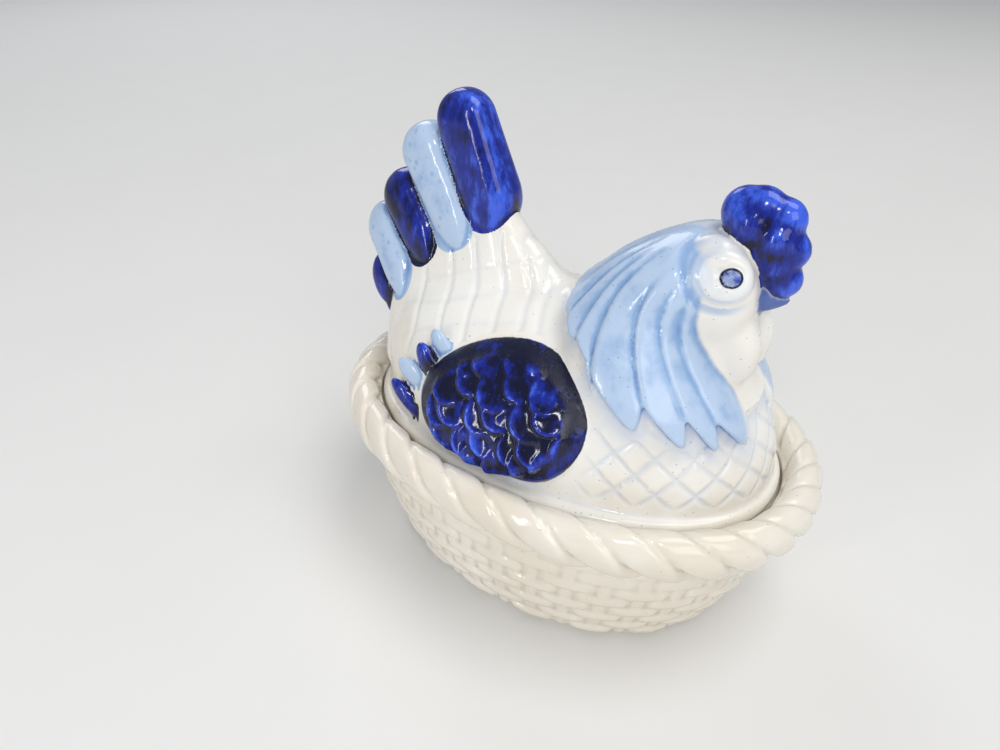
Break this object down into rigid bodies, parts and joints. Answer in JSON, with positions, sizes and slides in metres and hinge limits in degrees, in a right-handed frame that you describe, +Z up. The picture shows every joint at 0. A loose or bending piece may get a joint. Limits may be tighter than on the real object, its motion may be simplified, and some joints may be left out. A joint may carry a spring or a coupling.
{
  "type": "hen on nest dish",
  "caption": "Oval basket-weave serving dish with a rope-twist rim, and a hollow sitting hen that lifts off it as the lid, in cream pottery glazed with pale and cobalt blue",
  "frame": {"origin": "centre of the dish's foot, on the surface that it stands on", "axes": "+X towards the hen's beak, along the dish's length; +Y the hen's left; +Z up"},
  "size_m": [0.2034, 0.1408, 0.1846],
  "materials": {
    "cream_glaze": "glossy cream glaze with fine specks",
    "hen_glaze": "glossy cream glaze with pale blue and cobalt blue areas"
  },
  "bodies": {
    "dish": {"nest_dish": "cream_glaze"},
    "lid": {"hen_lid": "hen_glaze"}
  },
  "joints": [
    {"name": "lid_lift", "type": "slide", "parent": "dish", "child": "lid", "axis": [0, 0, 1], "range_m": [0, 0.08]}
  ]
}
